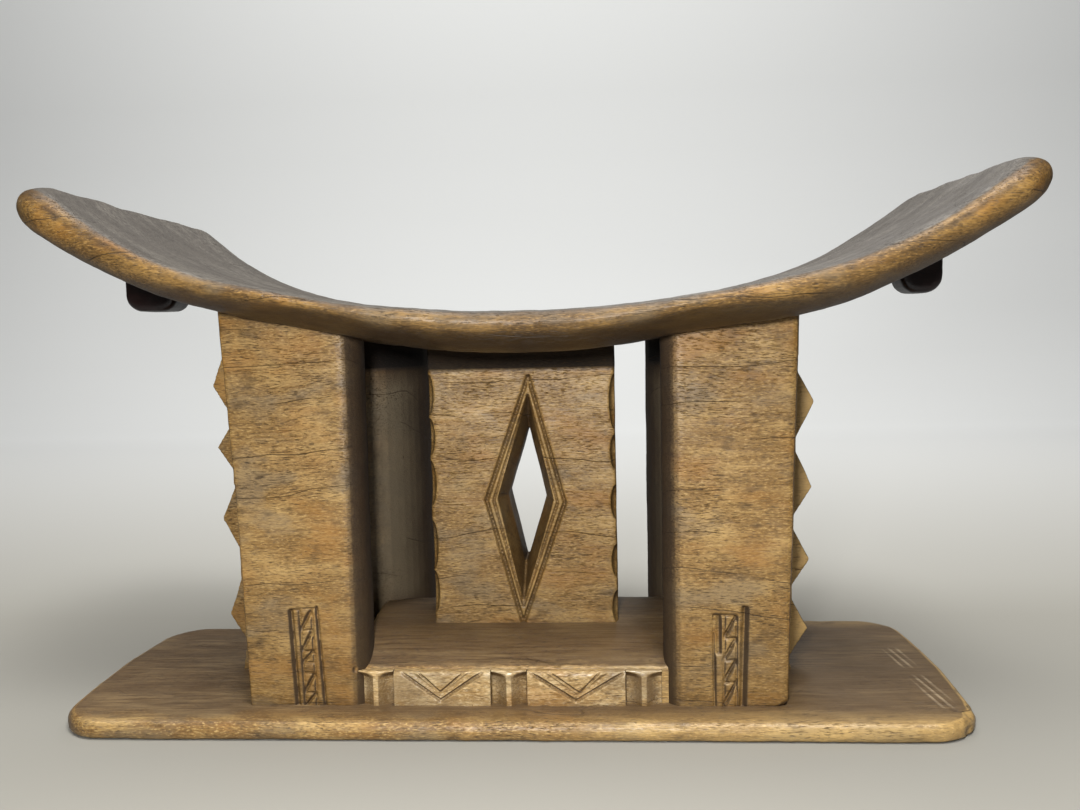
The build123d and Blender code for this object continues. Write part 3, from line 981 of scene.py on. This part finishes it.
# ==== Step carvings ====
HOLLOW_DEPTH = 4.4
# How far out from a post's middle its hollows are sliced, so that they can be bent.
HOLLOW_STATIONS = (RIDGE_HALF, 2.6, 3.8, 5, 6.5, 8, 9.5)


def ridged_post(name, x, face):
    """A post with a narrow ridge between two hollows whose heads slope up to the panels."""
    low_y, high_y = sorted((face * (RECESS_Y - SUNK), face * RECESS_Y))
    post = block(name, (x - POST_HALF, low_y, BASE_TOP - 1), (x + POST_HALF, high_y, CARVING_TOP))
    for offset in HOLLOW_STATIONS:
        slice_across(post, 0, (x - offset, x + offset))
    slice_across(post, 2, range(26, 34))

    def raised(p):
        off = max(RIDGE_HALF, abs(p.x - x))
        depth = HOLLOW_DEPTH * (1 - ((POST_HALF - off) / (POST_HALF - RIDGE_HALF)) ** 2)
        # The hollows fade out over 3 mm below the top, and the top rolls back towards the step.
        head = min(1, max(0, (CARVING_TOP - 1.6 + 0.12 * off - p.z) / 3))
        rolled = 0.12 * max(0, p.z - CARVING_TOP + 3.5) ** 2
        out = FACE_Y - RECESS_Y - depth * head - rolled
        return (p.x, p.y + (face * out if abs(p.y) > RECESS_Y - 1 else 0), p.z)

    shift_points(post, raised)
    hand_finish(post, voxel=0.5, rub=2, swell_depth=0.4, chatter_depth=0.15, keep=0.5)
    return post


def chevron_panel(name, x, face, chevrons):
    """A raised panel with a double chevron cut into it."""
    low_y, high_y = sorted((face * (RECESS_Y - SUNK), face * FACE_Y))
    panel = block(name, (x - PANEL_HALF, low_y, BASE_TOP - 1), (x + PANEL_HALF, high_y, CARVING_TOP))
    round_off(
        panel, 3.5, 4, lambda ends: all(p.z > CARVING_TOP - 1 and abs(p.y) > FACE_Y - 1 for p in ends)
    )
    carve_away(panel, [gouge(*line, face * FACE_Y) for line in chevrons])
    hand_finish(panel, voxel=0.5, rub=2, swell_depth=0.5, chatter_depth=0.2, keep=0.4)
    return panel


# Each leg of a double chevron is a thin outer line, a wide shallow trough and a thin inner line.
CHEVRONS = {
    "left": (
        ((-80.7, 38), (-49.8, 15.3), 2.6, 2.0),
        ((-49.8, 15.3), (-15.7, 38), 2.6, 2.1),
        ((-74.3, 38), (-49.8, 18.4), 5.2, 1.3),
        ((-49.8, 18.4), (-23.7, 38), 5.2, 1.4),
        ((-68.7, 38), (-49.8, 20.0), 1.8, 1.9),
        ((-49.8, 20.0), (-28.6, 38), 1.8, 2.0),
    ),
    "right": (
        ((-3.1, 38), (33.1, 15.0), 2.6, 2.0),
        ((33.1, 15.0), (71.4, 38), 2.6, 2.1),
        ((5.5, 38), (34.2, 18.0), 5.2, 1.3),
        ((34.2, 18.0), (61.0, 38), 5.2, 1.4),
        ((9.7, 38), (35.5, 19.4), 1.8, 1.9),
        ((35.5, 19.4), (52.6, 38), 1.8, 2.0),
    ),
}
for face_name, face in (("front", -1), ("rear", 1)):
    for side, offset in (("left", -1), ("middle", 0), ("right", 1)):
        node = f"{face_name}_{side}_post"
        post = ridged_post("carved_" + node, CARVING_X + offset * POST_PITCH, face)
        settle(post, carving_wood, "carving_wood", node)
    for side, offset in (("left", -0.5), ("right", 0.5)):
        node = f"{face_name}_{side}_panel"
        panel = chevron_panel("carved_" + node, CARVING_X + offset * POST_PITCH, face, CHEVRONS[side])
        settle(panel, carving_wood, "carving_wood", node)

# ==== Lugs ====
LUG_Y = 15.0
LUG_LOW = 257.5
# Node, end, half length along X, and how far the lug's middle lies inside the seat's tip.
for name, end, half, inset in (("left_lug", -1, 17.5, 35.5), ("right_lug", 1, 13, 43.5)):
    x = SEAT_X + end * (SEAT_REACH - inset)
    rough_z = seat_under(x + end * half - SEAT_X) + 3
    lug = block("carved_" + name, (x - half, -LUG_Y, LUG_LOW), (x + half, LUG_Y, rough_z))
    round_off(
        lug, 11, 6, lambda ends: abs(ends[0].y - ends[1].y) > 1 and all(p.z < LUG_LOW + 0.5 for p in ends)
    )
    round_off(lug, 4, 3, lambda ends: all(abs(p.y) > LUG_Y - 0.1 for p in ends))
    cut_to_seat(lug, x - half, x + half, above=2)
    hand_finish(lug, voxel=0.8, rub=2, swell_depth=0.8, chatter_depth=0.3, keep=0.6)
    settle(lug, lug_wood, "lug_wood", name)

# ==== Floor and sweep behind, in metres ====
SWEEP_STEPS = 8
SWEEP_LENGTH = 0.18
nothing_selected()
bpy.ops.mesh.primitive_plane_add(size=3.4, location=(0, -0.3, 0))
floor = bpy.context.object
floor.name = "floor_sweep"
floor.scale.x = 2.4
bpy.ops.object.transform_apply(location=True, rotation=True, scale=True)
pick(floor, "EDGE", lambda ends: all(p.y > 1300 for p in ends))
for turn in range(SWEEP_STEPS):
    angle = radians(90 / SWEEP_STEPS * (turn + 0.5))
    run, rise = SWEEP_LENGTH * cos(angle), SWEEP_LENGTH * sin(angle)
    bpy.ops.mesh.extrude_region_move(TRANSFORM_OT_translate={"value": (0, run, rise)})
bpy.ops.mesh.extrude_region_move(TRANSFORM_OT_translate={"value": (0, 0, 3.5)})
work_on(floor)
bpy.ops.object.shade_smooth()

# Matt paper. Seen directly it is pale, and paler behind the stool than under it; its darker tone near the
# stool is partly painted shade. As a reflector it is a mid grey, so that the hollows stay dark.
paper, tree = empty_material("matt_paper")
direct = add_node(tree, "ShaderNodeLightPath")
place = add_node(tree, "ShaderNodeTexCoord").outputs["Object"]
behind = add_node(tree, "ShaderNodeSeparateXYZ", {0: place}).outputs[1]
seen_tone = painted(tree, "#9e9b92", "#f0f1ef", (behind, 0.15, 1.50))
paper_tone = painted(tree, "#8a8a88", seen_tone, direct.outputs["Is Camera Ray"])
shader = add_node(
    tree, "ShaderNodeBsdfPrincipled", {"Base Color": paper_tone, "Roughness": 0.95, "IOR": 1.4}
)
add_node(tree, "ShaderNodeOutputMaterial", {"Surface": shader.outputs[0]})
floor.data.materials.append(paper)


# ==== Light ====
def soft_lamp(name, place, target, size, watts):
    """A square area lamp that looks at a point; metres."""
    data = bpy.data.lights.new(name, "AREA")
    data.size = size
    data.energy = watts
    lamp = bpy.data.objects.new(name, data)
    bpy.context.scene.collection.objects.link(lamp)
    lamp.location = place
    lamp.rotation_euler = (Vector(target) - Vector(place)).to_track_quat("-Z", "Y").to_euler()


soft_lamp("key", (-0.005, -0.70, 0.32), (0, 0, 0.17), size=0.07, watts=3.7)
soft_lamp("ceiling", (0.40, -0.7, 1.65), (0, 0, 0.1), size=0.6, watts=17)
soft_lamp("backdrop_lamp", (-0.2, 0.2, 2.4), (-0.1, 1.6, 0.6), size=2.2, watts=60)
soft_lamp("rear_fill", (0.3, 1.1, 1.4), (0, 0, 0.15), size=0.4, watts=4)

# The room is pale where it is seen and gives only a faint glow.
world = bpy.data.worlds.new("room")
bpy.context.scene.world = world
world.use_nodes = True
tree = world.node_tree
tree.nodes.clear()
path = add_node(tree, "ShaderNodeLightPath")
seen = add_node(tree, "ShaderNodeBackground", {"Color": tone("#dddfdd"), "Strength": 1.0})
glow = add_node(tree, "ShaderNodeBackground", {"Color": tone("#f2f1ee"), "Strength": 0.07})
mix = add_node(
    tree,
    "ShaderNodeMixShader",
    {0: path.outputs["Is Camera Ray"], 1: glow.outputs[0], 2: seen.outputs[0]},
)
add_node(tree, "ShaderNodeOutputWorld", {"Surface": mix.outputs[0]})

# ==== Camera ====
camera_data = bpy.data.cameras.new("camera")
camera_data.sensor_width = 36.0
camera_data.lens = 33.33
camera_data.clip_start = 0.02
camera = bpy.data.objects.new("camera", camera_data)
bpy.context.scene.collection.objects.link(camera)
# It stands a little to the right, turned 3.8 degrees to the left, 4.6 down and rolled by 1.3.
camera.matrix_world = (
    Matrix.Translation((0.0544, -0.6654, 0.243))
    @ Matrix.Rotation(radians(3.8), 4, "Z")
    @ Matrix.Rotation(radians(90 - 4.6), 4, "X")
    @ Matrix.Rotation(radians(-1.3), 4, "Z")
)
bpy.context.scene.camera = camera
bpy.context.scene.view_settings.view_transform = "Standard"
